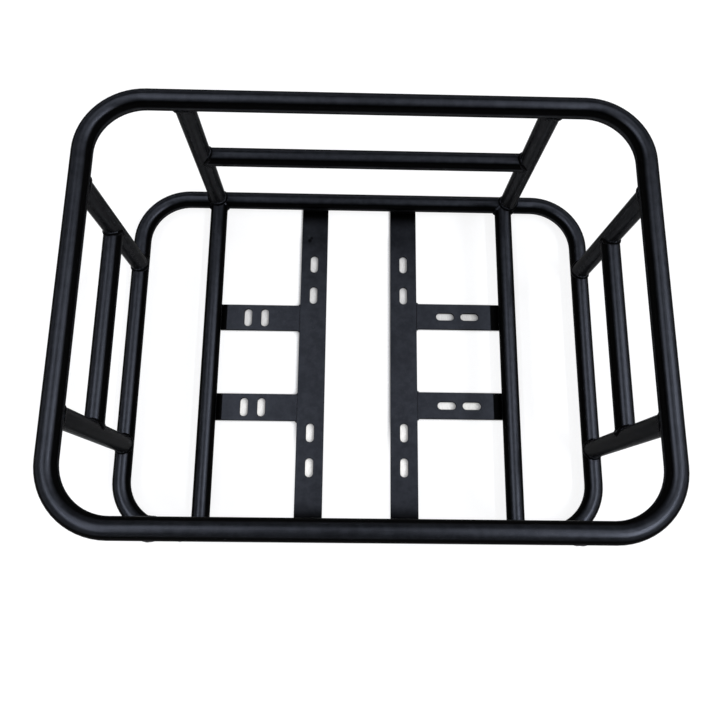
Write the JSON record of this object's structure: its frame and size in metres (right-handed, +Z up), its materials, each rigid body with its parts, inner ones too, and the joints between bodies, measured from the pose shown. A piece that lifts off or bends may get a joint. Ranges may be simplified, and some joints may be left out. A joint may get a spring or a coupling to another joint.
{
  "type": "cargo basket",
  "caption": "Open rectangular basket of welded round tube with slotted flats under its base, for bolting on a carrier or rack.",
  "frame": {"origin": "underside of the mounting flats, below the middle of the basket's length and width", "axes": "+X along the basket's long side, +Y from front to back, +Z up through the open rim"},
  "size_m": [0.522, 0.396, 0.2191],
  "materials": {
    "tube_coat": "black satin powder coat on welded steel tube",
    "flat_coat": "black satin powder coat on flat steel bar"
  },
  "bodies": {
    "root": {"rim": "tube_coat", "base_ring": "tube_coat", "base_tube_left": "tube_coat", "base_tube_right": "tube_coat", "back_wall_upright_left": "tube_coat", "back_wall_upright_right": "tube_coat", "front_wall_upright_left": "tube_coat", "front_wall_upright_right": "tube_coat", "left_wall_upright_back": "tube_coat", "left_wall_upright_front": "tube_coat", "right_wall_upright_back": "tube_coat", "right_wall_upright_front": "tube_coat", "back_wall_rail": "tube_coat", "front_wall_rail": "tube_coat", "left_wall_rail": "tube_coat", "right_wall_rail": "tube_coat", "mount_bar_left": "flat_coat", "mount_bar_right": "flat_coat", "mount_plate_left_front": "flat_coat", "mount_plate_left_back": "flat_coat", "mount_plate_right_front": "flat_coat", "mount_plate_right_back": "flat_coat"}
  },
  "joints": []
}
